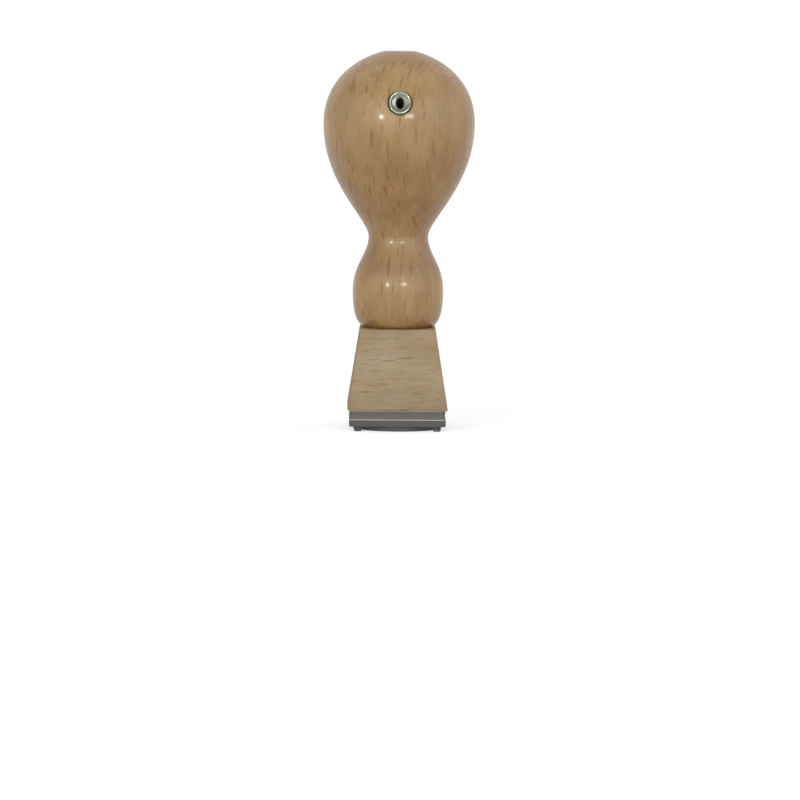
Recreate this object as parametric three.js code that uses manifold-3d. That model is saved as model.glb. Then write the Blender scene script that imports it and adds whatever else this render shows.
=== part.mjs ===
// A small wooden hand stamp: a turned pear handle screwed to a tapered mount block,
// with a cushioned rubber die glued under the block. Millimetres, +Z up.
// The origin is the middle of the print face, and the front faces -Y.

import * as THREE from 'three';
import { mergeVertices } from 'three/addons/utils/BufferGeometryUtils.js';
import Module from 'manifold-3d';

const wasm = await Module();
wasm.setup();

// Rubber die: an engraved sheet whose raised relief prints
const RELIEF_DEPTH = 1.0;
const DIE_SHEET = 1.3;
const DIE_INSET = 0.4;
const DIE_CORNER = 0.8;
const SHOULDER = 0.22;

// Relief of the die: ring, petals, beads and a centre disc
const RING_MARGIN = 0.8;
const RING_WIDTH = 0.8;
const PETAL_COUNT = 8;
const PETAL_GAP = 0.75;
const PETAL_LENGTH = 4.6;
const PETAL_WIDTH = 2.3;
const DISC_RADIUS = 1.75;
const BEAD_GAP = 1.35;
const BEAD_DOT_RADIUS = 0.5;
const CORNER_DOT_MARGIN = 1.75;
const CORNER_DOT_RADIUS = 0.7;

// Glue films and foam cushion, cut to the outline of the die
const FILM_THICKNESS = 0.15;
const CUSHION_THICKNESS = 1.6;

// Mount block: a square block planed to a taper on its four sides
const BLOCK_HEIGHT = 16.0;
const BLOCK_BOTTOM = 20.0;
const BLOCK_TOP = 15.0;
const BLOCK_ARRIS = 0.3;
const BLOCK_CORNER = 0.5;
const BLOCK_FLOOR = 3.0;

// Handle: radii of the turned form, and the rise from each to the next
const SEAT_RADIUS = 6.6;
const BEAD_RISE = 7.2;
const BEAD_RADIUS = 9.05;
const NECK_RISE = 10.9;
const NECK_RADIUS = 5.95;
const BULB_RISE = 22.5;
const BULB_RADIUS = 15.1;
const CROWN_RISE = 14.45;
const CROWN_RADIUS = 3.1;

// Fullness of each curve beside its widest or narrowest line, as a share of its rise
const BEAD_LOWER_FULLNESS = 0.85;
const BEAD_UPPER_FULLNESS = 0.5;
const NECK_LOWER_FULLNESS = 0.315;
const NECK_UPPER_FULLNESS = 0.15;
const BULB_LOWER_FULLNESS = 0.537;
const BULB_UPPER_FULLNESS = 0.74;

// How the curve leaves the flat seat and meets the flat crown
const SEAT_ROLL = 1.0;
const SEAT_ROLL_ANGLE = 28.6;
const CROWN_SHOULDER = 2.5;
const CROWN_SHOULDER_ANGLE = 12;

// Dowel screw that joins handle and block: plain solids stand for its two threads
const SCREW_RADIUS = 2.0;
const SCREW_PLAIN_RADIUS = 1.65;
const SCREW_PLAIN_LENGTH = 4.0;
const SCREW_IN_HANDLE = 15.0;
const SCREW_POINT = 3.2;
const SCREW_CLEARANCE = 0.3;
const DRILL_POINT_ANGLE = 31;

// Locator eyelet, pressed into the front of the bulb to mark which way is up
const EYELET_RISE = 4.6;
const EYELET_FLANGE_RADIUS = 2.5;
const EYELET_BARREL_RADIUS = 1.4;
const EYELET_SHEET = 0.3;
const EYELET_BARREL_LENGTH = 5.5;
const EYELET_CLEARANCE = 0.3;
const EYELET_SEAT_GAP = 0.15;
const EYELET_SPOT_MARGIN = 0.2;

// Steps of the faceted curves
const HANDLE_SEGMENTS = 48;
const CURVE_STEPS = [7, 8, 12, 14];
const ROUND_SEGMENTS = 32;
const OVERSHOOT = 1.0;

// Heights where one piece stands on the next
const DIE_TOP = RELIEF_DEPTH + DIE_SHEET;
const CUSHION_BASE = DIE_TOP + FILM_THICKNESS;
const CUSHION_TOP = CUSHION_BASE + CUSHION_THICKNESS;
const BLOCK_BASE = CUSHION_TOP + FILM_THICKNESS;
const HANDLE_BASE = BLOCK_BASE + BLOCK_HEIGHT;
const DIE_SIZE = BLOCK_BOTTOM - 2 * DIE_INSET;

const lacqueredBeech = { color: 0xa6875f, roughness: 0.28, metalness: 0 };
const rawBeech = { color: 0xa29274, roughness: 0.75, metalness: 0 };
const nickel = { color: 0xa9aa98, roughness: 0.25, metalness: 1 };
const steel = { color: 0x8d8f91, roughness: 0.35, metalness: 1 };
const glueFilm = { color: 0xcfc7b2, roughness: 0.5, metalness: 0 };
const foam = { color: 0x7d7c7a, roughness: 0.95, metalness: 0 };
const rubber = { color: 0x5d5b5a, roughness: 0.8, metalness: 0 };

// A closed three.js geometry as a solid that can be joined and cut
function solidOf(geometry) {
  const bare = geometry.clone();
  bare.deleteAttribute('normal');
  bare.deleteAttribute('uv');
  const merged = mergeVertices(bare, 1e-4);
  const index = merged.index.array;
  const corners = [];
  for (let i = 0; i < index.length; i += 3) {
    const [a, b, c] = index.slice(i, i + 3);
    if (a !== b && b !== c && c !== a) corners.push(a, b, c);
  }
  return new wasm.Manifold(new wasm.Mesh({
    numProp: 3,
    vertProperties: merged.attributes.position.array,
    triVerts: new Uint32Array(corners),
  }));
}

function geometryOf(solid) {
  const mesh = solid.getMesh();
  const geometry = new THREE.BufferGeometry();
  geometry.setAttribute('position', new THREE.BufferAttribute(mesh.vertProperties, 3));
  geometry.setIndex(new THREE.BufferAttribute(mesh.triVerts, 1));
  geometry.computeVertexNormals();
  return geometry;
}

function piece(name, geometry, finish) {
  const mesh = new THREE.Mesh(geometry, new THREE.MeshStandardMaterial(finish));
  mesh.name = name;
  return mesh;
}

// A profile of (radius, height) points turned about the Z axis
function turned(profile, segments) {
  return new THREE.LatheGeometry(profile, segments).rotateX(Math.PI / 2);
}

function polar(length, degrees) {
  const angle = THREE.MathUtils.degToRad(degrees);
  return new THREE.Vector2(length * Math.cos(angle), length * Math.sin(angle));
}

// Square with rounded corners, centred on the origin
function roundedSquare(size, radius) {
  const half = size / 2;
  const inner = half - radius;
  const shape = new THREE.Shape();
  shape.absarc(inner, inner, radius, 0, Math.PI / 2);
  shape.absarc(-inner, inner, radius, Math.PI / 2, Math.PI);
  shape.absarc(-inner, -inner, radius, Math.PI, 1.5 * Math.PI);
  shape.absarc(inner, -inner, radius, 1.5 * Math.PI, 2 * Math.PI);
  return shape;
}

function sheet(size, radius, thickness) {
  return new THREE.ExtrudeGeometry(roundedSquare(size, radius), {
    depth: thickness,
    bevelEnabled: false,
    curveSegments: 4,
  });
}

// Blind drilled hole from z = 0 upwards: straight wall, then the drill's point
function drilledHole(radius, depth) {
  const point = radius * Math.tan(THREE.MathUtils.degToRad(DRILL_POINT_ANGLE));
  return turned([
    new THREE.Vector2(0, -OVERSHOOT),
    new THREE.Vector2(radius, -OVERSHOOT),
    new THREE.Vector2(radius, depth),
    new THREE.Vector2(0, depth + point),
  ], ROUND_SEGMENTS);
}

// The handle's turned curve as four Bezier arcs, from the seat up to the crown
function handleCurve() {
  const seat = new THREE.Vector2(SEAT_RADIUS, 0);
  const bead = new THREE.Vector2(BEAD_RADIUS, BEAD_RISE);
  const neck = new THREE.Vector2(NECK_RADIUS, bead.y + NECK_RISE);
  const bulb = new THREE.Vector2(BULB_RADIUS, neck.y + BULB_RISE);
  const crown = new THREE.Vector2(CROWN_RADIUS, bulb.y + CROWN_RISE);
  const along = (point, rise, share) => new THREE.Vector2(point.x, point.y + rise * share);
  const seatPull = seat.clone().add(polar(SEAT_ROLL, SEAT_ROLL_ANGLE));
  const crownPull = crown.clone().add(polar(CROWN_SHOULDER, -CROWN_SHOULDER_ANGLE));
  const arc = (a, b, c, d) => new THREE.CubicBezierCurve(a, b, c, d);
  return [
    arc(seat, seatPull, along(bead, -BEAD_RISE, BEAD_LOWER_FULLNESS), bead),
    arc(bead, along(bead, NECK_RISE, BEAD_UPPER_FULLNESS),
      along(neck, -NECK_RISE, NECK_LOWER_FULLNESS), neck),
    arc(neck, along(neck, BULB_RISE, NECK_UPPER_FULLNESS),
      along(bulb, -BULB_RISE, BULB_LOWER_FULLNESS), bulb),
    arc(bulb, along(bulb, CROWN_RISE, BULB_UPPER_FULLNESS), crownPull, crown),
  ];
}

// Point of an arc at a given height, found by halving, with its outward normal
function surfaceAt(arc, height) {
  let low = 0;
  let high = 1;
  for (let i = 0; i < 40; i += 1) {
    const middle = (low + high) / 2;
    if (arc.getPoint(middle).y < height) low = middle;
    else high = middle;
  }
  const tangent = arc.getTangent(low);
  return { point: arc.getPoint(low), normal: new THREE.Vector2(tangent.y, -tangent.x) };
}

// Where the eyelet's flange seats, in the handle's frame: local +Z points out of the wood.
// The flat spot is sunk until the flange's round edge clears the curved surface.
function eyeletPlace() {
  const arcs = handleCurve();
  const bulbHeight = arcs[3].getPoint(0).y;
  const { point, normal } = surfaceAt(arcs[3], bulbHeight + EYELET_RISE);
  const spot = EYELET_FLANGE_RADIUS + EYELET_SPOT_MARGIN;
  const sink = point.x - Math.sqrt(point.x ** 2 - spot ** 2);
  const place = new THREE.Object3D();
  place.position.set(0, -(point.x - sink * normal.x), point.y - sink * normal.y);
  place.rotation.x = Math.atan2(normal.x, normal.y);
  place.updateMatrix();
  return place;
}

// The hole and flat spot that the eyelet is pressed into
function eyeletCutter() {
  const holeRadius = EYELET_BARREL_RADIUS + EYELET_CLEARANCE;
  const holeDepth = EYELET_BARREL_LENGTH + OVERSHOOT;
  const spotRadius = EYELET_FLANGE_RADIUS + EYELET_SPOT_MARGIN;
  return turned([
    new THREE.Vector2(0, -holeDepth),
    new THREE.Vector2(holeRadius, -holeDepth),
    new THREE.Vector2(holeRadius, 0),
    new THREE.Vector2(spotRadius, 0),
    new THREE.Vector2(spotRadius, OVERSHOOT),
    new THREE.Vector2(0, OVERSHOOT),
  ], ROUND_SEGMENTS);
}

function makeHandle() {
  const profile = [new THREE.Vector2(0, 0), new THREE.Vector2(SEAT_RADIUS, 0)];
  handleCurve().forEach((arc, i) => profile.push(...arc.getPoints(CURVE_STEPS[i]).slice(1)));
  profile.push(new THREE.Vector2(0, profile.at(-1).y));
  const screwHole = drilledHole(SCREW_RADIUS + SCREW_CLEARANCE, SCREW_IN_HANDLE + SCREW_CLEARANCE);
  const eyeletHole = eyeletCutter().applyMatrix4(eyeletPlace().matrix);
  const body = solidOf(turned(profile, HANDLE_SEGMENTS))
    .subtract(solidOf(screwHole))
    .subtract(solidOf(eyeletHole));
  return geometryOf(body);
}

// Eyelet drawn from sheet: a straight barrel whose mouth is rolled outwards into a round flange
function makeEyelet() {
  const barrelInner = EYELET_BARREL_RADIUS - EYELET_SHEET;
  const rollCentre = (barrelInner + EYELET_FLANGE_RADIUS) / 2;
  const rollOuter = (EYELET_FLANGE_RADIUS - barrelInner) / 2;
  const section = new THREE.Shape();
  section.moveTo(barrelInner, -EYELET_BARREL_LENGTH);
  section.lineTo(EYELET_BARREL_RADIUS, -EYELET_BARREL_LENGTH);
  section.lineTo(EYELET_BARREL_RADIUS, EYELET_SEAT_GAP);
  section.absarc(rollCentre, EYELET_SEAT_GAP, rollOuter - EYELET_SHEET, Math.PI, 0, true);
  section.absarc(rollCentre, EYELET_SEAT_GAP, rollOuter, 0, Math.PI, false);
  const profile = section.getPoints(5);
  profile.push(profile[0].clone());
  return turned(profile, ROUND_SEGMENTS);
}

// Reach of the screw into the block, down to the drill's point
function screwInBlock() {
  const holeRadius = SCREW_RADIUS + SCREW_CLEARANCE;
  const point = holeRadius * Math.tan(THREE.MathUtils.degToRad(DRILL_POINT_ANGLE));
  return BLOCK_HEIGHT - BLOCK_FLOOR - point - SCREW_CLEARANCE;
}

// Double-ended screw, centred on the joint between block and handle
function makeScrew() {
  const low = -screwInBlock();
  return turned([
    new THREE.Vector2(0, low),
    new THREE.Vector2(SCREW_RADIUS, low + SCREW_POINT),
    new THREE.Vector2(SCREW_RADIUS, -SCREW_PLAIN_LENGTH / 2),
    new THREE.Vector2(SCREW_PLAIN_RADIUS, -SCREW_PLAIN_LENGTH / 2),
    new THREE.Vector2(SCREW_PLAIN_RADIUS, SCREW_PLAIN_LENGTH / 2),
    new THREE.Vector2(SCREW_RADIUS, SCREW_PLAIN_LENGTH / 2),
    new THREE.Vector2(SCREW_RADIUS, SCREW_IN_HANDLE - SCREW_POINT),
    new THREE.Vector2(0, SCREW_IN_HANDLE),
  ], ROUND_SEGMENTS);
}

// Square prism with eased arrises, drawn in towards its top, with the screw's hole from above
function makeBlock() {
  const blank = new THREE.ExtrudeGeometry(roundedSquare(BLOCK_BOTTOM, BLOCK_CORNER), {
    depth: BLOCK_HEIGHT - 2 * BLOCK_ARRIS,
    bevelThickness: BLOCK_ARRIS,
    bevelSize: BLOCK_ARRIS,
    bevelOffset: -BLOCK_ARRIS,
    bevelSegments: 3,
    curveSegments: 4,
  }).translate(0, 0, BLOCK_ARRIS);
  const position = blank.attributes.position;
  for (let i = 0; i < position.count; i += 1) {
    const height = position.getZ(i);
    const share = 1 + (height / BLOCK_HEIGHT) * (BLOCK_TOP / BLOCK_BOTTOM - 1);
    position.setXYZ(i, position.getX(i) * share, position.getY(i) * share, height);
  }
  const hole = drilledHole(SCREW_RADIUS + SCREW_CLEARANCE, screwInBlock() + SCREW_CLEARANCE)
    .rotateX(Math.PI)
    .translate(0, 0, BLOCK_HEIGHT);
  return geometryOf(solidOf(blank).subtract(solidOf(hole)));
}

// A raised figure of the relief: its print face at z = 0, its sides sloping out into the sheet
function raised(shape, curveSegments) {
  return solidOf(new THREE.ExtrudeGeometry(shape, {
    depth: DIE_SHEET / 2,
    bevelThickness: RELIEF_DEPTH,
    bevelSize: SHOULDER,
    bevelSegments: 1,
    curveSegments,
  }).translate(0, 0, RELIEF_DEPTH));
}

function circle(x, y, radius) {
  return new THREE.Shape().absarc(x, y, radius, 0, 2 * Math.PI);
}

// Petal between two equal arcs, its axis along the given angle
function petal(inner, outer, width, angle) {
  const halfLength = (outer - inner) / 2;
  const halfWidth = width / 2;
  const bow = (halfLength ** 2 + halfWidth ** 2) / (2 * halfWidth);
  const spread = Math.asin(halfLength / bow);
  const middle = (inner + outer) / 2;
  const offset = bow - halfWidth;
  const centre = (side) => new THREE.Vector2(middle, side * offset)
    .rotateAround(new THREE.Vector2(), angle);
  const up = Math.PI / 2 + angle;
  const shape = new THREE.Shape();
  shape.absarc(centre(-1).x, centre(-1).y, bow, up - spread, up + spread);
  shape.absarc(centre(1).x, centre(1).y, bow, up + Math.PI - spread, up + Math.PI + spread);
  return shape;
}

// Ring with petals and beads round a disc, and a dot in each corner, all on one rubber sheet
function makeDie() {
  const half = DIE_SIZE / 2;
  const ringOuter = half - RING_MARGIN;
  const ringInner = ringOuter - RING_WIDTH;
  const petalOuter = ringInner - PETAL_GAP;
  const ring = circle(0, 0, ringOuter);
  ring.holes.push(circle(0, 0, ringInner));
  const figures = [raised(ring, 32), raised(circle(0, 0, DISC_RADIUS), 12)];
  for (let i = 0; i < PETAL_COUNT; i += 1) {
    const angle = (2 * Math.PI * i) / PETAL_COUNT;
    figures.push(raised(petal(petalOuter - PETAL_LENGTH, petalOuter, PETAL_WIDTH, angle), 4));
    const between = new THREE.Vector2(ringInner - BEAD_GAP, 0)
      .rotateAround(new THREE.Vector2(), angle + Math.PI / PETAL_COUNT);
    figures.push(raised(circle(between.x, between.y, BEAD_DOT_RADIUS), 6));
  }
  const corner = half - CORNER_DOT_MARGIN;
  for (const x of [-corner, corner]) {
    for (const y of [-corner, corner]) figures.push(raised(circle(x, y, CORNER_DOT_RADIUS), 6));
  }
  const base = solidOf(sheet(DIE_SIZE, DIE_CORNER, DIE_SHEET).translate(0, 0, RELIEF_DEPTH));
  const room = solidOf(sheet(2 * DIE_SIZE, DIE_CORNER, RELIEF_DEPTH + DIE_SHEET / 2));
  const relief = figures.reduce((all, figure) => all.add(figure)).intersect(room);
  return geometryOf(base.add(relief));
}

function makeLayer(thickness) {
  return sheet(DIE_SIZE, DIE_CORNER, thickness);
}

const stamp = new THREE.Group();

const die = piece('rubber_die', makeDie(), rubber);
stamp.add(die);

const dieFilm = piece('die_glue_film', makeLayer(FILM_THICKNESS), glueFilm);
dieFilm.position.z = DIE_TOP;
stamp.add(dieFilm);

const cushion = piece('foam_cushion', makeLayer(CUSHION_THICKNESS), foam);
cushion.position.z = CUSHION_BASE;
stamp.add(cushion);

const blockFilm = piece('block_glue_film', makeLayer(FILM_THICKNESS), glueFilm);
blockFilm.position.z = CUSHION_TOP;
stamp.add(blockFilm);

const block = piece('mount_block', makeBlock(), rawBeech);
block.position.z = BLOCK_BASE;
stamp.add(block);

const screw = piece('dowel_screw', makeScrew(), steel);
screw.position.z = HANDLE_BASE;
stamp.add(screw);

const handleGroup = new THREE.Group();
handleGroup.position.z = HANDLE_BASE;
stamp.add(handleGroup);

const handle = piece('handle', makeHandle(), lacqueredBeech);
handleGroup.add(handle);

const eyelet = piece('locator_eyelet', makeEyelet(), nickel);
const eyeletSeat = eyeletPlace();
eyelet.position.copy(eyeletSeat.position);
eyelet.rotation.copy(eyeletSeat.rotation);
handleGroup.add(eyelet);

export default stamp;
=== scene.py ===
import math

import bpy
from mathutils import Euler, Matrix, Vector
from mathutils.geometry import interpolate_bezier


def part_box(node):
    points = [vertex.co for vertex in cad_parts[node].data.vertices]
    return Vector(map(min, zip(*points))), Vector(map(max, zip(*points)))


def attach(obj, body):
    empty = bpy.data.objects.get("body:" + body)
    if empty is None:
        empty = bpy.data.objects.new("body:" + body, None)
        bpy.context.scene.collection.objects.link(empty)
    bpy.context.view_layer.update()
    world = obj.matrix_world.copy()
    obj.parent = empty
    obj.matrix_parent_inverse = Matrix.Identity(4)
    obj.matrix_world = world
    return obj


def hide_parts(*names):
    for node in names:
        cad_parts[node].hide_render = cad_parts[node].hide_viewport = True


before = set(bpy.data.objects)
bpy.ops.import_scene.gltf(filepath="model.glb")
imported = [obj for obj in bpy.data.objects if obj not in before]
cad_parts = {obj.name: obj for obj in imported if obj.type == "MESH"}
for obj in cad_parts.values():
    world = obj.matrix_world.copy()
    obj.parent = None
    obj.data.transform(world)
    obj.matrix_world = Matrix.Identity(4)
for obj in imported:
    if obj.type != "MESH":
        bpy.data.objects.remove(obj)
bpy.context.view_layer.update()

# Camera: far off with a long lens, a little above the stamp and a hair to its left, so that the
# front eyelet shows just right of the middle. It is rolled until the turning axis leans as in
# the photo, and aims at the foot of the stamp, which puts the handle in the upper half.
MM = 0.001
CAMERA_DISTANCE = 1.2
CAMERA_AZIMUTH = -0.6
CAMERA_ELEVATION = 5.0
CAMERA_ROLL = 0.42
VIEW_WIDTH = 160.0 * MM
AIM = Vector((0.57 * MM, 0, 5.55 * MM))


def direction(azimuth, elevation):
    """Unit vector towards a point round the stamp: azimuth 0 is in front, 90 to its right."""
    a = math.radians(azimuth)
    e = math.radians(elevation)
    return Vector((math.sin(a) * math.cos(e), -math.cos(a) * math.cos(e), math.sin(e)))


towards_camera = direction(CAMERA_AZIMUTH, CAMERA_ELEVATION)
look = (-towards_camera).to_track_quat("-Z", "Y")
roll = Euler((0, 0, math.radians(CAMERA_ROLL))).to_quaternion()
bpy.ops.object.camera_add(
    location=AIM + towards_camera * CAMERA_DISTANCE,
    rotation=(look @ roll).to_euler(),
)
camera = bpy.context.object
camera.data.lens = camera.data.sensor_width * CAMERA_DISTANCE / VIEW_WIDTH
camera.data.clip_end = 100
bpy.context.scene.camera = camera
bpy.context.scene.view_settings.view_transform = "Standard"


# Shader maths: a Value is one number, colour or vector on its way through a material, and
# arithmetic on numbers adds the Math nodes. A Paint holds one material and adds all other nodes.
class Value:
    def __init__(self, paint, socket):
        self.paint = paint
        self.socket = socket

    def __add__(self, other):
        return self.paint.math("ADD", self, other)

    def __radd__(self, other):
        return self.paint.math("ADD", other, self)

    def __sub__(self, other):
        return self.paint.math("SUBTRACT", self, other)

    def __rsub__(self, other):
        return self.paint.math("SUBTRACT", other, self)

    def __mul__(self, other):
        return self.paint.math("MULTIPLY", self, other)

    def __rmul__(self, other):
        return self.paint.math("MULTIPLY", other, self)

    def __truediv__(self, other):
        return self.paint.math("DIVIDE", self, other)

    def __pow__(self, other):
        return self.paint.math("POWER", self, other)

    def __abs__(self):
        return self.paint.math("ABSOLUTE", self)


class Paint:
    def __init__(self, name):
        self.material = bpy.data.materials.new(name)
        self.material.use_nodes = True
        self.tree = self.material.node_tree
        self.skin = self.tree.nodes["Principled BSDF"]

    def feed(self, socket, value):
        if isinstance(value, Value):
            self.tree.links.new(value.socket, socket)
        else:
            socket.default_value = value

    def add(self, kind, settings, inputs, out=0):
        """Adds a node with its settings, feeds its sockets and returns the output or outputs asked for."""
        node = self.tree.nodes.new(kind)
        for name, value in settings.items():
            setattr(node, name, value)
        for name, value in inputs.items():
            self.feed(node.inputs[name], value)
        if isinstance(out, tuple):
            return [Value(self, node.outputs[name]) for name in out]
        return Value(self, node.outputs[out])

    def math(self, operation, *values):
        return self.add("ShaderNodeMath", {"operation": operation}, dict(enumerate(values)))

    def vector(self, operation, *values):
        return self.add("ShaderNodeVectorMath", {"operation": operation}, dict(enumerate(values)))

    def split(self, vector):
        return self.add("ShaderNodeSeparateXYZ", {}, {0: vector}, out=(0, 1, 2))

    def step(self, value, low, high):
        """0 below low, 1 above high, and a smooth rise between."""
        limits = {"Value": value, "From Min": low, "From Max": high}
        return self.add("ShaderNodeMapRange", {"interpolation_type": "SMOOTHSTEP"}, limits)

    def noise(self, place, scale, detail=2.0, out="Fac"):
        inputs = {"Vector": place, "Scale": scale, "Detail": detail}
        return self.add("ShaderNodeTexNoise", {}, inputs, out=out)

    def mix(self, share, first, second, mode="MIX"):
        settings = {"data_type": "RGBA", "blend_type": mode}
        return self.add("ShaderNodeMix", settings, {0: share, 6: first, 7: second}, out=2)

    def place(self, turn=(0, 0, 0)):
        """Object coordinates in millimetres, turned so that a pattern can run along its own axes."""
        here = self.add("ShaderNodeTexCoord", {}, {}, out="Object")
        inputs = {"Vector": here, "Rotation": turn, "Scale": (1 / MM,) * 3}
        return self.add("ShaderNodeMapping", {}, inputs)

    def bump(self, height, depth):
        """Height from 0 to 1, in millimetres of depth, feeding the skin's normal."""
        inputs = {"Height": height, "Distance": depth * MM, "Strength": 1.0}
        self.feed(self.skin.inputs["Normal"], self.add("ShaderNodeBump", {}, inputs))

    def look(self, **sockets):
        for name, value in sockets.items():
            self.feed(self.skin.inputs[name.replace("_", " ")], value)


def colour(red, green, blue):
    """A colour from 8-bit sRGB, as a paint chart gives it, to the linear values of a shader."""
    linear = [((c / 255 + 0.055) / 1.055) ** 2.4 for c in (red, green, blue)]
    return (*linear, 1.0)


# Studio: a white paper floor that runs on to a white surround, lit by a dim sky and soft boxes.
# The lacquer mirrors a small lamp in a pale wall on the left, and on the right a low bar under a
# cool window. The floor is clear from below, so that the print face can be looked at too.
SKY_LIGHT = 0.46
FLOOR_WHITE = 0.60
FLOOR_LIFT_NEAR = 0.64
FLOOR_LIFT_FAR = 0.78
UNDERSIDE_REACH = 3 * MM
LIT_POINT = Vector((0, 0, 40 * MM))


def to_white(tree):
    """1 for the rays that see a white surround: from the camera, from metal and through glass."""
    path = tree.nodes.new("ShaderNodeLightPath")
    seen = path.outputs["Is Camera Ray"]
    for name in ("Is Glossy Ray", "Is Transmission Ray"):
        either = tree.nodes.new("ShaderNodeMath")
        either.operation = "MAXIMUM"
        tree.links.new(seen, either.inputs[0])
        tree.links.new(path.outputs[name], either.inputs[1])
        seen = either.outputs[0]
    return seen


sky = bpy.data.worlds.new("sky")
sky.use_nodes = True
bpy.context.scene.world = sky
sky_level = sky.node_tree.nodes.new("ShaderNodeMapRange")
sky_level.inputs["To Min"].default_value = SKY_LIGHT
sky_level.inputs["To Max"].default_value = 1.0
sky.node_tree.links.new(to_white(sky.node_tree), sky_level.inputs["Value"])
sky_shader = sky.node_tree.nodes["Background"]
sky_shader.inputs["Color"].default_value = (1, 1, 1, 1)
sky.node_tree.links.new(sky_level.outputs[0], sky_shader.inputs["Strength"])

bpy.ops.mesh.primitive_plane_add(size=60, location=(0, 0, -0.01 * MM))
floor = bpy.context.object
floor.name = "floor"
paper = Paint("white_paper")
seen_white = Value(paper, to_white(paper.tree))
from_stamp = paper.add("ShaderNodeVectorMath", {"operation": "LENGTH"}, {0: paper.place()}, out="Value")
lift = paper.mix(
    paper.step(from_stamp, 60, 900),
    (FLOOR_LIFT_NEAR,) * 3 + (1,),
    (FLOOR_LIFT_FAR,) * 3 + (1,),
)
paper.look(
    Base_Color=(FLOOR_WHITE,) * 3 + (1,),
    Roughness=1.0,
    Specular_IOR_Level=0.0,
    Emission_Color=paper.mix(seen_white, (0, 0, 0, 1), lift),
    Emission_Strength=1.0,
)
from_below = paper.add("ShaderNodeNewGeometry", {}, {}, out="Backfacing")
ray_length = paper.add("ShaderNodeLightPath", {}, {}, out="Ray Length")
clear_share = paper.math("MAXIMUM", from_below, paper.math("LESS_THAN", ray_length, UNDERSIDE_REACH))
clear = paper.add("ShaderNodeBsdfTransparent", {}, {})
opaque = Value(paper, paper.skin.outputs["BSDF"])
surface = paper.add("ShaderNodeMixShader", {}, {0: clear_share, 1: opaque, 2: clear})
paper.feed(paper.tree.nodes["Material Output"].inputs["Surface"], surface)
floor.data.materials.append(paper.material)


def soft_box(name, azimuth, elevation, width, height, radiance, distance=1.6, spread=180):
    """A rectangular lamp facing the middle of the stamp. radiance 1 is as bright as white paper."""
    towards = direction(azimuth, elevation)
    bpy.ops.object.light_add(
        type="AREA",
        location=LIT_POINT + towards * distance,
        rotation=towards.to_track_quat("Z", "Y").to_euler(),
    )
    lamp = bpy.context.object
    lamp.name = name
    lamp.data.shape = "RECTANGLE"
    lamp.data.size = width
    lamp.data.size_y = height
    lamp.data.energy = radiance * math.pi * width * height
    lamp.data.spread = math.radians(spread)
    lamp.visible_camera = False
    return lamp


key_box = soft_box("key_box", -14, 32, width=1.0, height=0.8, radiance=1.05, distance=1.2)
key_box.visible_glossy = False
front_box = soft_box("front_box", 15, 13, width=0.9, height=0.5, radiance=1.9)
front_box.visible_glossy = False
soft_box("small_lamp", -28, 11.2, width=0.13, height=0.10, radiance=108)
low_bar = soft_box("low_bar", 15, 12.8, width=0.38, height=0.09, radiance=40)
low_bar.visible_diffuse = False
soft_box("thin_line", -6, 13.2, width=1.30, height=0.03, radiance=8)
window = soft_box("window", 12.5, 22, width=0.24, height=0.40, radiance=4)
window.data.color = (0.90, 0.92, 1.12)
side_window = soft_box("side_window", 50, 18, width=1.0, height=1.2, radiance=1.6)
side_window.data.color = (0.94, 1.00, 1.10)
side_window.visible_diffuse = False
left_window = soft_box("left_window", -38, 12, width=2.4, height=1.1, radiance=1.2)
left_window.data.color = (0.95, 1.00, 0.86)
left_window.visible_diffuse = False
soft_box("right_panel", 88, 22, width=2.0, height=1.4, radiance=0.13, spread=75)
soft_box("left_panel", -75, 25, width=1.2, height=1.0, radiance=0.04, spread=75)


# Handle: a pear of steamed beech turned in one piece from a square billet, sanded and dipped in
# clear gloss lacquer. Its flat seat is drilled up the middle for the screw, and the front of the
# bulb has a shallow flat spot with a hole where the eyelet is pressed in.
HANDLE_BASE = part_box("handle")[0].z
SEAT_RADIUS = 6.6 * MM
BEAD_RISE = 7.2 * MM
BEAD_RADIUS = 9.05 * MM
NECK_RISE = 10.9 * MM
NECK_RADIUS = 5.95 * MM
BULB_RISE = 22.5 * MM
BULB_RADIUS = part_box("handle")[1].x
CROWN_RISE = 14.45 * MM
CROWN_RADIUS = 3.1 * MM
SEAT_PULL = Vector((0.878 * MM, 0, 0.479 * MM))
CROWN_PULL = Vector((2.445 * MM, 0, -0.520 * MM))
SHOULDER_PULL = 0.74 * CROWN_RISE
HANDLE_STEPS = 160
END_RING = 0.06
SCREW_HOLE_RADIUS = 2.05 * MM
SCREW_HOLE_DEPTH = 15.3 * MM
DRILL_POINT = 1.3 * MM


def select_only(piece):
    bpy.ops.object.select_all(action="DESELECT")
    piece.select_set(True)
    bpy.context.view_layer.objects.active = piece


def pick(piece, kind, test):
    """In edit mode, selects the vertices, edges or faces of the piece whose middle passes the test."""
    bpy.ops.mesh.select_mode(type=kind)
    bpy.ops.mesh.select_all(action="DESELECT")
    bpy.ops.object.mode_set(mode="OBJECT")
    mesh = piece.data
    items = {"VERT": mesh.vertices, "EDGE": mesh.edges, "FACE": mesh.polygons}[kind]
    for item in items:
        if kind == "VERT":
            middle = item.co
        elif kind == "FACE":
            middle = item.center
        else:
            middle = sum((mesh.vertices[v].co for v in item.vertices), Vector()) / 2
        item.select = test(middle)
    bpy.ops.object.mode_set(mode="EDIT")


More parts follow.
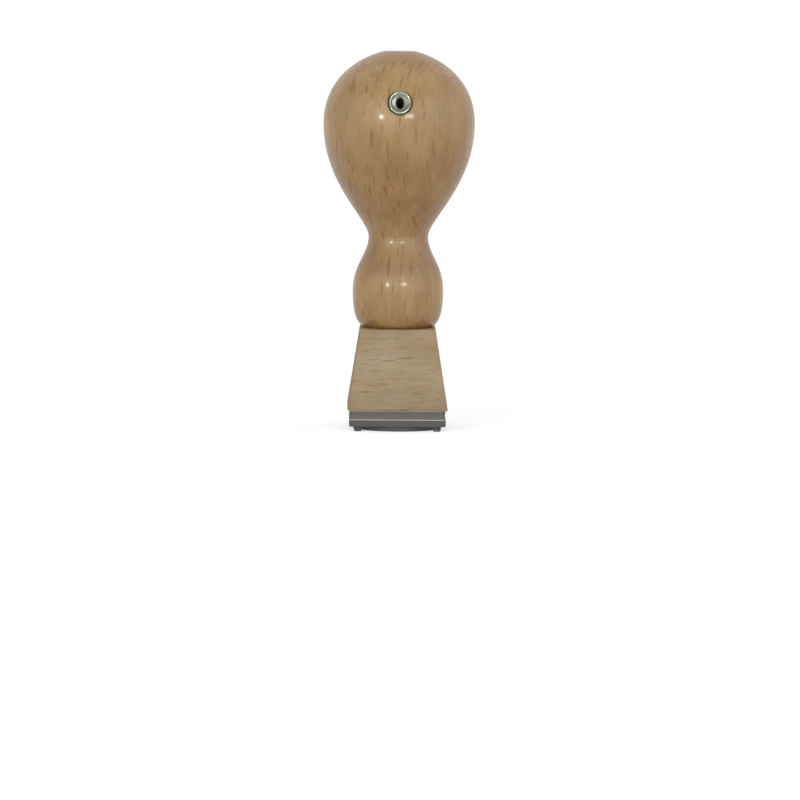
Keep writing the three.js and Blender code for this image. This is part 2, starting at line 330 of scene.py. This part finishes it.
def turn_on_lathe(name, outline, closed_on_axis, steps, line_steps):
    """Draws half a section as a Bezier line and turns it about the Z axis.
    Each point of the outline is (point, pull before it, pull after it), in the X-Z plane. An end
    that is closed on the axis gets a narrow ring first, which keeps its shading off the curve."""
    bpy.ops.object.select_all(action="DESELECT")
    bpy.ops.curve.primitive_bezier_curve_add()
    line = bpy.context.object
    line.name = name
    line.data.resolution_u = line_steps
    points = line.data.splines[0].bezier_points
    points.add(len(outline) - 2)
    for knot, (point, before, after) in zip(points, outline):
        knot.handle_left_type = "FREE"
        knot.handle_right_type = "FREE"
        knot.co = point
        knot.handle_left = point + before
        knot.handle_right = point + after
    bpy.ops.object.convert(target="MESH")
    bpy.ops.object.mode_set(mode="EDIT")
    if closed_on_axis:
        for end in (outline[0][0], outline[-1][0]):
            pick(line, "VERT", lambda v: (v - end).length < 0.001 * MM)
            for share in (END_RING, 1 - END_RING):
                inwards = {"value": (-share * end.x, 0, 0)}
                bpy.ops.mesh.extrude_region_move(TRANSFORM_OT_translate=inwards)
    bpy.ops.mesh.select_all(action="SELECT")
    bpy.ops.mesh.spin(steps=steps, angle=2 * math.pi, center=(0, 0, 0), axis=(0, 0, 1))
    bpy.ops.mesh.select_all(action="SELECT")
    bpy.ops.mesh.remove_doubles(threshold=0.0005 * MM)
    bpy.ops.mesh.normals_make_consistent(inside=False)
    bpy.ops.object.mode_set(mode="OBJECT")
    return line


def settle(piece, location=(0, 0, 0), rotation=(0, 0, 0)):
    """Moves the piece to its place and leaves that place in its mesh, with the object at the origin."""
    select_only(piece)
    piece.location = location
    piece.rotation_euler = rotation
    bpy.ops.object.transform_apply(location=True, rotation=True, scale=True)


def combine(piece, other, operation):
    """Cuts, joins or trims the piece by another one, which is used up."""
    tool = piece.modifiers.new("tool", "BOOLEAN")
    tool.operation = operation
    tool.object = other
    tool.solver = "EXACT"
    select_only(piece)
    bpy.ops.object.modifier_apply(modifier=tool.name)
    bpy.data.objects.remove(other)


def drill(radius, depth):
    """A drill standing on z = 0 with its point up: the shape of the hole it leaves."""
    bpy.ops.object.select_all(action="DESELECT")
    over = 1 * MM
    height = depth + over
    bpy.ops.mesh.primitive_cylinder_add(
        vertices=48, radius=radius, depth=height, location=(0, 0, height / 2 - over))
    tool = bpy.context.object
    select_only(tool)
    bpy.ops.object.transform_apply(location=True)
    bpy.ops.object.mode_set(mode="EDIT")
    pick(tool, "FACE", lambda middle: middle.z > depth - 0.01 * MM)
    bpy.ops.mesh.extrude_region_move(TRANSFORM_OT_translate={"value": (0, 0, DRILL_POINT)})
    bpy.ops.mesh.merge(type="CENTER")
    bpy.ops.object.mode_set(mode="OBJECT")
    return tool


def smooth(piece, degrees=30):
    select_only(piece)
    bpy.ops.object.shade_smooth_by_angle(angle=math.radians(degrees))


def up(length):
    return Vector((0, 0, length))


seat = Vector((SEAT_RADIUS, 0, HANDLE_BASE))
bead = Vector((BEAD_RADIUS, 0, seat.z + BEAD_RISE))
neck = Vector((NECK_RADIUS, 0, bead.z + NECK_RISE))
bulb = Vector((BULB_RADIUS, 0, neck.z + BULB_RISE))
crown = Vector((CROWN_RADIUS, 0, bulb.z + CROWN_RISE))

# Most knots pull along the axis, by a share of the rise to the next knot
handle_outline = [
    (seat, -SEAT_PULL, SEAT_PULL),
    (bead, up(-0.85 * BEAD_RISE), up(0.5 * NECK_RISE)),
    (neck, up(-0.315 * NECK_RISE), up(0.15 * BULB_RISE)),
    (bulb, up(-0.537 * BULB_RISE), up(SHOULDER_PULL)),
    (crown, CROWN_PULL, -CROWN_PULL),
]
handle = turn_on_lathe("turned_handle", handle_outline, True, HANDLE_STEPS, 40)
smooth(handle, 25)
uncut_handle = handle.copy()
uncut_handle.data = handle.data.copy()
bpy.context.collection.objects.link(uncut_handle)

screw_hole = drill(SCREW_HOLE_RADIUS, SCREW_HOLE_DEPTH)
settle(screw_hole, location=(0, 0, HANDLE_BASE))
combine(handle, screw_hole, "DIFFERENCE")

# The eyelet's seat finds its height and slope on the bulb's upper curve
EYELET_RISE = 4.6 * MM
EYELET_FLANGE = 2.5 * MM
EYELET_BARREL = 1.4 * MM
EYELET_LENGTH = 5.5 * MM
SPOT_RADIUS = 2.62 * MM
upper_curve = interpolate_bezier(bulb, bulb + up(SHOULDER_PULL), crown + CROWN_PULL, crown, 400)
i = next(i for i, p in enumerate(upper_curve) if p.z > bulb.z + EYELET_RISE)
slope = (upper_curve[i + 1] - upper_curve[i - 1]).normalized()
eyelet_normal = Vector((0, -slope.z, -slope.x))
spot_sink = upper_curve[i].x - math.sqrt(upper_curve[i].x ** 2 - SPOT_RADIUS ** 2)
eyelet_seat = Vector((0, -upper_curve[i].x, upper_curve[i].z)) - eyelet_normal * spot_sink
eyelet_turn = eyelet_normal.to_track_quat("Z", "X").to_euler()

for radius, reach in ((SPOT_RADIUS, 0), (EYELET_BARREL + 0.05 * MM, EYELET_LENGTH + 1 * MM)):
    bpy.ops.object.select_all(action="DESELECT")
    bpy.ops.mesh.primitive_cylinder_add(
        vertices=96, radius=radius, depth=reach + 2 * MM, location=(0, 0, 1 * MM - reach / 2))
    spot_tool = bpy.context.object
    select_only(spot_tool)
    bpy.ops.object.transform_apply(location=True)
    settle(spot_tool, location=eyelet_seat, rotation=eyelet_turn)
    combine(handle, spot_tool, "DIFFERENCE")
smooth(handle, 25)


def round_the_spot(point):
    from_axis = (point - eyelet_seat).cross(eyelet_normal).length
    return point.y < 0 and SPOT_RADIUS * 0.99 < from_axis < SPOT_RADIUS * 1.5


# The lacquer runs evenly up to the spot's edge: there the skin takes the uncut curve's normals
select_only(handle)
bpy.ops.object.mode_set(mode="EDIT")
pick(handle, "VERT", round_the_spot)
bpy.ops.object.vertex_group_assign_new()
bpy.ops.object.mode_set(mode="OBJECT")
flow = handle.modifiers.new("flow", "DATA_TRANSFER")
flow.object = uncut_handle
flow.use_loop_data = True
flow.data_types_loops = {"CUSTOM_NORMAL"}
flow.loop_mapping = "POLYINTERP_NEAREST"
flow.vertex_group = handle.vertex_groups[0].name
bpy.ops.object.modifier_apply(modifier=flow.name)
bpy.data.objects.remove(uncut_handle)


# Beech cut from near the outside of a log. Its rays are thin upright blades: where the surface
# crosses them square on they show as short dark spindles, and where it runs along them they smear
# into wide flakes. Growth rings are faint, and fine vessel lines follow the grain.
def ray_flecks(paint, at, spacing, half, crowd, shift):
    """Mask of one size of ray: a spindle in most cells of a stretched cell pattern, in millimetres.
    spacing and half are (across, along the ray, along the grain), crowd the share of cells filled."""
    cells = paint.vector("DIVIDE", paint.vector("ADD", at, shift), spacing)
    inputs = {"Vector": cells, "Scale": 1.0, "Randomness": 0.9}
    centre, chance = paint.add("ShaderNodeTexVoronoi", {}, inputs, out=("Position", "Color"))
    offset = paint.vector("MULTIPLY", paint.vector("SUBTRACT", cells, centre), spacing)
    across, deep, along = paint.split(offset)
    size, presence, tone = paint.split(chance)
    length = (size * size * 1.1 + 0.6) * half[2]
    width = (tone * 0.5 + 0.75) * half[0]
    reach = 1 - abs(across) / width - (along / length) ** 2 - (deep / half[1]) ** 2
    kept = paint.step(presence, 1 - crowd, 1.04 - crowd)
    return paint.step(reach, 0.0, 0.6) * kept * (tone * 0.4 + 0.6)


def beech(paint, turn, pale, deep, fleck, thin=1.0):
    """Colour of beech with its grain along the Z axis of the turned coordinates, and the height
    of its pores from 0 to 1. Returns (colour, height)."""
    plain = paint.place(turn)
    slow = paint.noise(plain, 0.045, detail=1.0, out="Color")
    sway = paint.vector("MULTIPLY", paint.vector("SUBTRACT", slow, (0.5,) * 3), (3.0, 3.0, 1.0))
    quick = paint.noise(plain, 0.5, detail=2.0, out="Color")
    tremble = paint.vector("MULTIPLY", paint.vector("SUBTRACT", quick, (0.5,) * 3), (0.35, 0.5, 0.5))
    at = paint.vector("ADD", paint.vector("ADD", plain, sway), tremble)

    facing = paint.add("ShaderNodeTexCoord", {}, {}, out="Normal")
    facing = paint.add("ShaderNodeMapping", {"vector_type": "NORMAL"}, {"Vector": facing, "Rotation": turn})
    facing_rays, _, facing_end = paint.split(facing)
    flat_sawn = 1 - paint.step(abs(facing_rays), 0.66, 0.92) * 0.95
    end_grain = paint.step(abs(facing_end), 0.72, 1.0)

    across, deep_in, along = paint.split(at)
    from_heart = (across ** 2 + (deep_in + 70.0) ** 2) ** 0.5
    wave = paint.noise(at, 0.06, detail=2.0) * 1.6
    ring = paint.math("FRACT", from_heart / 2.7 + wave)
    late_wood = ring ** 5

    streak = paint.noise(paint.vector("MULTIPLY", at, (2.6, 1.3, 0.10)), 1.0, detail=3.0)
    vessel = paint.noise(paint.vector("MULTIPLY", at, (9.0, 9.0, 0.55)), 1.0, detail=2.0)
    cloud = paint.noise(paint.vector("MULTIPLY", at, (1.0, 1.0, 0.45)), 0.20, detail=3.0)
    pores = paint.step(vessel, 0.58, 0.76)

    tone = 0.5 + (streak - 0.5) * 0.85 + (cloud - 0.5) * 1.7 - late_wood * 0.13 - end_grain * 0.55
    body = paint.mix(paint.step(tone, 0.0, 1.0), deep, pale)
    body = paint.mix(pores * 0.14, body, fleck)
    patch = paint.noise(paint.vector("MULTIPLY", at, (1.0, 1.0, 0.35)), 0.50, detail=3.0)
    blush = paint.step(patch, 0.42, 0.66)
    body = paint.mix(blush * 0.8, body, (1.02, 0.95, 0.84, 1.0), mode="MULTIPLY")

    large = ray_flecks(paint, at, (2.9, 15.0, 5.0), (0.34 * thin, 14.0, 2.00), 0.85, (1.7, 3.1, 0.6))
    middle = ray_flecks(paint, at, (2.4, 11.0, 4.0), (0.23 * thin, 10.0, 1.45), 0.60, (8.3, 5.9, 2.2))
    small = ray_flecks(paint, at, (1.3, 6.0, 2.6), (0.13 * thin, 5.0, 0.90), 0.60, (4.1, 9.7, 5.3))
    specks = paint.math("MAXIMUM", large, paint.math("MAXIMUM", middle * 0.75, small * 0.4))
    body = paint.mix(specks * flat_sawn, body, fleck)
    height = 1 - specks * 0.5 - pores * 0.5
    return body, height


RAY_TURN = math.radians(25)
lacquered = Paint("lacquered_beech")
wood_colour, wood_height = beech(
    lacquered,
    turn=(0, 0, RAY_TURN),
    pale=colour(175, 142, 94),
    deep=colour(152, 118, 71),
    fleck=colour(136, 97, 45),
)

# Painted shade: the wood is painted darker under the bulb, at the foot and in the hollow of the neck,
# where shade falls, fitted to the photo's brightness. Heights are in millimetres above the print face.
_, _, handle_height = lacquered.split(lacquered.place())
shade_under_bulb = lacquered.step(handle_height, 37.5, 44.0) * (1 - lacquered.step(handle_height, 46.0, 60.0))
shade_at_foot = 1 - lacquered.step(handle_height, 21.0, 24.5)
bulb_and_foot_shade = lacquered.math("MAXIMUM", shade_under_bulb, shade_at_foot)
neck_hollow_shade = lacquered.step(handle_height, 28.5, 33.0) * (1 - lacquered.step(handle_height, 36.5, 41.0))
shaded_wood = lacquered.mix(bulb_and_foot_shade, wood_colour, (0.91, 0.82, 0.71, 1.0), mode="MULTIPLY")
lacquered.look(
    Base_Color=lacquered.mix(neck_hollow_shade, shaded_wood, (0.79, 0.76, 0.73, 1.0), mode="MULTIPLY"),
    Roughness=0.45,
    Specular_IOR_Level=0.36,
    Coat_Weight=0.35,
    Coat_Roughness=0.14,
    Coat_IOR=1.5,
)
handle.data.materials.clear()
handle.data.materials.append(lacquered.material)
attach(handle, "root")
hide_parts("handle")


# Locator eyelet: drawn from thin brass sheet and nickel plated, with a funnelled mouth and a flange
# rolled over into a ring. The dark opening looks oval in the photo, so the mouth is squeezed here,
# though a round one with a reflection at its side could look the same.
FUNNEL_REACH = 1.50 * MM
FUNNEL_STEP = 0.04 * MM
SQUEEZE_STEPS = 8
SQUEEZE_UP = 0.92 ** (1 / SQUEEZE_STEPS)
SQUEEZE_ACROSS = 0.64 ** (1 / SQUEEZE_STEPS)
eyelet_corners = [
    ((0.45, -EYELET_LENGTH / MM), (0, 0), (0.03, 0.8)),
    ((1.05, -0.60), (-0.06, -0.9), (0.01, 0.25)),
    ((1.22, 0.10), (-0.10, -0.14), (0.12, 0.16)),
    ((1.64, 0.49), (-0.16, -0.08), (0.10, 0.05)),
    ((2.06, 0.775), (-0.24, 0), (0.22, 0)),
    ((2.48, 0.34), (0, 0.24), (0, -0.14)),
    ((2.36, 0.08), (0.08, 0), (-0.06, 0)),
    ((2.08, 0.45), (0.15, 0), (-0.15, 0)),
    ((1.62, 0.20), (0.10, 0.05), (-0.10, -0.05)),
    ((1.36, -0.50), (0.02, 0.30), (-0.04, -0.8)),
    ((0.72, -EYELET_LENGTH / MM), (0.03, 0.8), (0, 0)),
    ((0.45, -EYELET_LENGTH / MM), (0, 0), (0, 0)),
]
eyelet_outline = [
    tuple(Vector((x, 0, z)) * MM for x, z in corner) for corner in eyelet_corners
]
eyelet = turn_on_lathe("nickel_eyelet", eyelet_outline, False, 96, 10)
bpy.ops.object.mode_set(mode="EDIT")
for i in range(SQUEEZE_STEPS):
    reach = FUNNEL_REACH - FUNNEL_STEP * i
    pick(eyelet, "VERT", lambda v: math.hypot(v.x / SQUEEZE_UP ** i, v.y / SQUEEZE_ACROSS ** i) < reach)
    bpy.ops.transform.resize(value=(SQUEEZE_UP, SQUEEZE_ACROSS, 1), center_override=(0, 0, 0))
bpy.ops.object.mode_set(mode="OBJECT")
settle(eyelet, location=eyelet_seat, rotation=eyelet_turn)
smooth(eyelet, 40)

nickel = Paint("nickel_plate")
nickel_place = nickel.place()
from_seat = nickel.add(
    "ShaderNodeMapping",
    {"vector_type": "TEXTURE"},
    {"Vector": nickel_place, "Location": tuple(eyelet_seat / MM), "Rotation": tuple(eyelet_turn)},
)
eyelet_x, eyelet_y, eyelet_depth = nickel.split(from_seat)
from_middle = (eyelet_x ** 2 + eyelet_y ** 2) ** 0.5

# Painted reflection: the groove has a little grime all round and a dark reflection painted on one side,
# and one side of the funnel is painted darker and duller as a reflection. Both are fitted to the photo.
handled = nickel.noise(nickel_place, 2.2, detail=3.0)
groove = nickel.step(from_middle, 1.52, 1.64) * (1 - nickel.step(from_middle, 1.72, 1.86))
groove_grime_and_reflection = groove * (nickel.step(eyelet_y, 0.6, 1.5) * 0.8 + 0.12)
# Painted shade and dark reflection: a dark ring at the flange's edge, wider at its sides.
from_middle_wide = (eyelet_x ** 2 + (eyelet_y * 1.13) ** 2) ** 0.5
rim_shade_and_reflection = nickel.step(from_middle_wide + handled * 0.10, 2.34, 2.50)
funnel = 1 - nickel.step(from_middle, 1.5, 1.7)
# Painted shade: the barrel is darker deeper in the hole.
barrel_shade = 1 - nickel.step(eyelet_depth, -1.1, -0.35)
bright = nickel.mix(handled, colour(134, 135, 118), colour(150, 152, 139))
funnel_reflection = funnel * (1 - nickel.step(eyelet_y, 0.1, 0.9)) * (1 - barrel_shade)
nickel_with_reflection = nickel.mix(funnel_reflection * 0.6, bright, colour(106, 109, 100))
nickel_with_grime_and_shade = nickel.mix(nickel.math("MAXIMUM", rim_shade_and_reflection, groove_grime_and_reflection), nickel_with_reflection, colour(66, 62, 46))
nickel.look(
    Base_Color=nickel.mix(barrel_shade * 0.5, nickel_with_grime_and_shade, colour(96, 97, 92)),
    Metallic=1.0,
    Roughness=handled * 0.10 + 0.15 + funnel * 0.10 + funnel_reflection * 0.22 + barrel_shade * 0.2 + rim_shade_and_reflection * 0.3,
)
eyelet.data.materials.append(nickel.material)
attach(eyelet, "root")
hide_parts("locator_eyelet")


# Dowel screw: a steel rod with a wood thread cut on both ends and a plain waist between them,
# turned with pliers into the handle first, so that the block can be screwed on after it. In the
# finished stamp the wood hides it.
SCREW_CREST = 2.0 * MM
SCREW_CORE = 1.35 * MM
SCREW_WAIST = 1.65 * MM
SCREW_WAIST_LENGTH = 4.0 * MM
SCREW_POINT = 3.2 * MM
THREAD_PITCH = 1.9 * MM
THREAD_DEPTH = 0.55 * MM
screw_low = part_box("dowel_screw")[0].z
screw_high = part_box("dowel_screw")[1].z
straight = Vector()


def rod(name, radius, waist_radius, blunt):
    """Pointed rod as long as the screw, with another radius at its waist."""
    tip = 0.08 * MM
    taper_length = SCREW_POINT - blunt
    half_waist = SCREW_WAIST_LENGTH / 2
    stations = [
        (tip, screw_low + blunt), (radius, screw_low + blunt + taper_length),
        (radius, HANDLE_BASE - half_waist), (waist_radius, HANDLE_BASE - half_waist),
        (waist_radius, HANDLE_BASE + half_waist), (radius, HANDLE_BASE + half_waist),
        (radius, screw_high - blunt - taper_length), (tip, screw_high - blunt),
    ]
    outline = [(Vector((r, 0, z)), straight, straight) for r, z in stations]
    return turn_on_lathe(name, outline, True, 48, 1)


screw = rod("dowel_screw_with_thread", SCREW_CORE, SCREW_WAIST, 0.05 * MM)
thread_limit = rod("thread_limit", SCREW_CREST, SCREW_WAIST - 0.08 * MM, 0)
bpy.ops.object.select_all(action="DESELECT")
bpy.ops.mesh.primitive_circle_add(
    vertices=3,
    radius=THREAD_DEPTH,
    location=(SCREW_CREST + 0.05 * MM - THREAD_DEPTH, 0, screw_low - THREAD_PITCH),
    rotation=(math.pi / 2, math.pi / 2, 0),
)
thread = bpy.context.object
select_only(thread)
bpy.ops.object.transform_apply(location=True, rotation=True)
winding = thread.modifiers.new("winding", "SCREW")
winding.axis = "Z"
winding.screw_offset = THREAD_PITCH
winding.iterations = math.ceil((screw_high - screw_low) / THREAD_PITCH) + 2
winding.steps = 24
winding.render_steps = 24
bpy.ops.object.modifier_apply(modifier=winding.name)
bpy.ops.object.mode_set(mode="EDIT")
bpy.ops.mesh.select_all(action="SELECT")
bpy.ops.mesh.fill_holes(sides=3)
bpy.ops.mesh.normals_make_consistent(inside=False)
bpy.ops.object.mode_set(mode="OBJECT")
combine(thread, thread_limit, "INTERSECT")
combine(screw, thread, "UNION")
smooth(screw, 28)

steel = Paint("screw_steel")
steel_place = steel.place()
steel_grime = steel.noise(steel_place, 0.9, detail=4.0)
turning_marks = steel.noise(steel.vector("MULTIPLY", steel_place, (0.6, 0.6, 14.0)), 1.0, detail=2.0)
steel.look(
    Base_Color=steel.mix(steel_grime, colour(128, 130, 132), colour(156, 158, 158)),
    Metallic=1.0,
    Roughness=turning_marks * 0.25 + 0.22,
)
steel.bump(turning_marks, 0.03)
screw.data.materials.clear()
screw.data.materials.append(steel.material)
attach(screw, "root")
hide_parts("dowel_screw")


# Mount block: a beech offcut sawn square with the grain across the front, planed to a taper on
# all four sides and left raw, its arrises broken with a few strokes of sandpaper. The hole for
# the screw goes in from the top, where the handle's seat hides it.
BLOCK_BOTTOM = 20.0 * MM
BLOCK_TOP = 15.0 * MM
BLOCK_HOLE_DEPTH = 11.5 * MM
block_low, block_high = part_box("mount_block")
block_height = block_high.z - block_low.z
bpy.ops.object.select_all(action="DESELECT")
bpy.ops.mesh.primitive_cube_add(
    size=1,
    location=(0, 0, block_low.z + block_height / 2),
    scale=(BLOCK_BOTTOM, BLOCK_BOTTOM, block_height),
)
block = bpy.context.object
block.name = "tapered_block"
select_only(block)
bpy.ops.object.transform_apply(location=True, scale=True)
bpy.ops.object.mode_set(mode="EDIT")
pick(block, "FACE", lambda middle: middle.z > block_high.z - 0.1 * MM)
taper = BLOCK_TOP / BLOCK_BOTTOM
bpy.ops.transform.resize(value=(taper, taper, 1), center_override=(0, 0, block_high.z))
bpy.ops.object.mode_set(mode="OBJECT")
arris = block.modifiers.new("arris", "BEVEL")
arris.width = 0.28 * MM
arris.segments = 4
select_only(block)
bpy.ops.object.modifier_apply(modifier=arris.name)
block_hole = drill(SCREW_HOLE_RADIUS, BLOCK_HOLE_DEPTH)
settle(block_hole, location=(0, 0, block_high.z), rotation=(math.pi, 0, 0))
combine(block, block_hole, "DIFFERENCE")
smooth(block, 35)

raw = Paint("raw_beech")
raw_colour, raw_height = beech(
    raw,
    turn=(0, math.radians(90), 0),
    pale=colour(173, 156, 126),
    deep=colour(154, 135, 103),
    fleck=colour(141, 115, 75),
    thin=0.58,
)

# Painted shade: the faces darken towards the top edge, under the handle, and they are also darker
# towards the bottom edge. Both are fitted to the photo in the same way.
_, _, up_block = raw.split(raw.place())
shade_at_top_darker_at_bottom = raw.math("MAXIMUM", 1 - raw.step(up_block, 5.5, 9.5), raw.step(up_block, 16.5, 19.5))
raw.look(
    Base_Color=raw.mix(shade_at_top_darker_at_bottom, raw_colour, (0.91, 0.88, 0.86, 1.0), mode="MULTIPLY"),
    Roughness=0.72,
    Specular_IOR_Level=0.3,
)
raw.bump(raw_height, 0.05)
block.data.materials.append(raw.material)
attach(block, "root")
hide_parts("mount_block")


# Glue films: two layers of double-sided film, one above the cushion and one below it. Each is
# rolled on, then trimmed with a knife round the die, so that its edge lies a hair inside.
FILM_TRIM = 0.05 * MM
DIE_CORNER = 0.8 * MM


def rounded_slab(name, node, trim, layers):
    """Square slab with rounded corners in the place of a node, raised in steps from its lowest
    outline. layers is a list of (height share, inset) up to (1, inset)."""
    low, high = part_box(node)
    width = high.x - low.x - 2 * trim
    bpy.ops.object.select_all(action="DESELECT")
    bpy.ops.mesh.primitive_plane_add(size=width, location=(0, 0, low.z))
    slab = bpy.context.object
    slab.name = name
    select_only(slab)
    bpy.ops.object.transform_apply(location=True)
    bpy.ops.object.mode_set(mode="EDIT")
    bpy.ops.mesh.select_all(action="SELECT")
    bpy.ops.mesh.bevel(offset=DIE_CORNER, segments=8, affect="VERTICES")
    share_before = layers[0][0]
    width_now = width
    for share, inset in layers:
        bpy.ops.mesh.select_all(action="DESELECT")
        level = low.z + share_before * (high.z - low.z)
        pick(slab, "FACE", lambda middle: abs(middle.z - level) < 0.001 * MM and abs(middle.x) < 1 * MM)
        rise = (share - share_before) * (high.z - low.z)
        if rise > 0:
            bpy.ops.mesh.extrude_region_move(TRANSFORM_OT_translate={"value": (0, 0, rise)})
        factor = (width - 2 * inset) / width_now
        bpy.ops.transform.resize(value=(factor, factor, 1), center_override=(0, 0, level + rise))
        width_now = width - 2 * inset
        share_before = share
    bpy.ops.mesh.select_all(action="SELECT")
    bpy.ops.mesh.normals_make_consistent(inside=False)
    bpy.ops.object.mode_set(mode="OBJECT")
    return slab


film_layers = [(0, 0.02 * MM), (0.2, 0), (0.8, 0), (1, 0.02 * MM)]
film = Paint("glue_film")
film_place = film.place()
film_haze = film.noise(film_place, 0.8, detail=4.0)
film.look(
    Base_Color=film.mix(film_haze, colour(196, 184, 152), colour(216, 209, 188)),
    Roughness=film_haze * 0.3 + 0.3,
    Specular_IOR_Level=0.4,
)
for film_node in ("block_glue_film", "die_glue_film"):
    layer = rounded_slab(film_node + "_layer", film_node, FILM_TRIM, film_layers)
    smooth(layer, 40)
    layer.data.materials.append(film.material)
    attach(layer, "root")
    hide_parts(film_node)


# Foam cushion: die-cut from grey closed-cell foam sheet. Squeezed between the two films, its cut
# edge draws in at half height, and the cells that the knife opened show as small pits.
foam_layers = [(0, 0.06 * MM)] + [
    (step / 12, 0.02 * MM + 0.14 * MM * math.sin(math.pi * step / 12)) for step in range(1, 12)
] + [(1, 0.06 * MM)]
cushion = rounded_slab("foam_cushion_sheet", "foam_cushion", 0.02 * MM, foam_layers)
smooth(cushion, 60)
foam = Paint("cushion_foam")
foam_place = foam.place()
foam_cells = foam.add("ShaderNodeTexVoronoi", {}, {"Vector": foam_place, "Scale": 4.5}, out="Distance")
foam_tone = foam.noise(foam_place, 0.7, detail=3.0)
foam_body = foam.mix(foam_tone, colour(118, 117, 115), colour(134, 133, 131))
# Painted shade: the low parts between the cells are darker.
foam.look(
    Base_Color=foam.mix(foam.step(foam_cells, 0.15, 0.6) * 0.45, foam_body, colour(84, 83, 82)),
    Roughness=0.95,
    Specular_IOR_Level=0.2,
)
foam.bump(1 - foam_cells, 0.06)
cushion.data.materials.append(foam.material)
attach(cushion, "root")
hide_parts("foam_cushion")


# Rubber die: a sheet of grey stamp rubber, engraved by laser so that the figure stands up on
# sloping shoulders: a ring, eight petals with beads between them, a disc and four corner dots.
RELIEF_DEPTH = 1.0 * MM
SHOULDER = 0.22 * MM
ROOTED = 0.15 * MM
RING_OUTER = 8.8 * MM
RING_INNER = 8.0 * MM
PETAL_OUTER = 7.25 * MM
PETAL_LENGTH = 4.6 * MM
PETAL_WIDTH = 2.3 * MM
DISC_RADIUS = 1.75 * MM
BEAD_RING = 6.65 * MM
BEAD_DOT_RADIUS = 0.5 * MM
CORNER_DOT_PLACE = 7.85 * MM
CORNER_DOT_RADIUS = 0.7 * MM
FIGURE_HEIGHT = RELIEF_DEPTH + ROOTED
FIGURE_SPREAD = SHOULDER * FIGURE_HEIGHT / RELIEF_DEPTH


def dot(radius, x, y, vertices):
    """A raised round figure: its print face on z = 0, its sides sloping out into the sheet."""
    bpy.ops.object.select_all(action="DESELECT")
    bpy.ops.mesh.primitive_cone_add(
        vertices=vertices,
        radius1=radius,
        radius2=radius + FIGURE_SPREAD,
        depth=FIGURE_HEIGHT,
        location=(x, y, FIGURE_HEIGHT / 2),
    )
    figure = bpy.context.object
    settle(figure, location=figure.location)
    return figure


def turned_copy(figure, degrees):
    """Copy with its own mesh, turned about the middle of the die."""
    twin = figure.copy()
    twin.data = figure.data.copy()
    bpy.context.collection.objects.link(twin)
    settle(twin, rotation=(0, 0, math.radians(degrees)))
    return twin


half_petal = PETAL_LENGTH / 2
bow = (half_petal ** 2 + (PETAL_WIDTH / 2) ** 2) / PETAL_WIDTH
petal_middle = PETAL_OUTER - half_petal
petal_offset = bow - PETAL_WIDTH / 2
petal = dot(bow, petal_middle, petal_offset, 128)
combine(petal, dot(bow, petal_middle, -petal_offset, 128), "INTERSECT")
bead_dot = dot(BEAD_DOT_RADIUS, BEAD_RING * math.cos(math.pi / 8), BEAD_RING * math.sin(math.pi / 8), 24)
corner_dot = dot(CORNER_DOT_RADIUS, CORNER_DOT_PLACE, CORNER_DOT_PLACE, 32)
ring_corners = [
    (RING_OUTER, 0), (RING_OUTER + FIGURE_SPREAD, FIGURE_HEIGHT),
    (RING_INNER - FIGURE_SPREAD, FIGURE_HEIGHT), (RING_INNER, 0), (RING_OUTER, 0),
]
ring_outline = [(Vector((r, 0, z)), straight, straight) for r, z in ring_corners]
figures = [
    turn_on_lathe("die_ring", ring_outline, False, 128, 1),
    dot(DISC_RADIUS, 0, 0, 64), petal, bead_dot, corner_dot,
]
for i in range(1, 8):
    figures.append(turned_copy(petal, 45 * i))
    figures.append(turned_copy(bead_dot, 45 * i))
for i in range(1, 4):
    figures.append(turned_copy(corner_dot, 90 * i))
bpy.ops.object.select_all(action="DESELECT")
for figure in figures:
    figure.select_set(True)
bpy.context.view_layer.objects.active = figures[0]
bpy.ops.object.join()
relief = bpy.context.object

die_low, die_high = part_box("rubber_die")
sheet_foot = RELIEF_DEPTH / (die_high.z - die_low.z)
die = rounded_slab("engraved_die", "rubber_die", 0, [(0, 0.06 * MM), (0.1, 0), (1, 0)])
bpy.ops.object.mode_set(mode="EDIT")
bpy.ops.mesh.select_all(action="SELECT")
bpy.ops.transform.resize(value=(1, 1, 1 - sheet_foot), center_override=(0, 0, die_high.z))
bpy.ops.object.mode_set(mode="OBJECT")
combine(die, relief, "UNION")
smooth(die, 30)

rubber = Paint("die_rubber")
rubber_place = rubber.place()
rubber_grain = rubber.noise(rubber_place, 6.0, detail=3.0)
_, scan_across, rubber_height = rubber.split(rubber_place)
engraved = rubber.step(rubber_height, 0.9, 0.99)
scan_lines = rubber.math("SINE", scan_across * (2 * math.pi / 0.12)) * 0.5 + 0.5
rubber_body = rubber.mix(rubber_grain, colour(86, 84, 83), colour(102, 100, 99))
rubber.look(
    Base_Color=rubber.mix(1 - rubber.step(rubber_height, 0.0, 0.08) * 0.75, rubber_body, colour(70, 69, 71)),
    Roughness=rubber_grain * 0.2 + 0.62,
    Specular_IOR_Level=0.35,
)
rubber.bump(rubber_grain * 0.4 + scan_lines * engraved * 0.6, 0.02)
die.data.materials.clear()
die.data.materials.append(rubber.material)
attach(die, "root")
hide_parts("rubber_die")
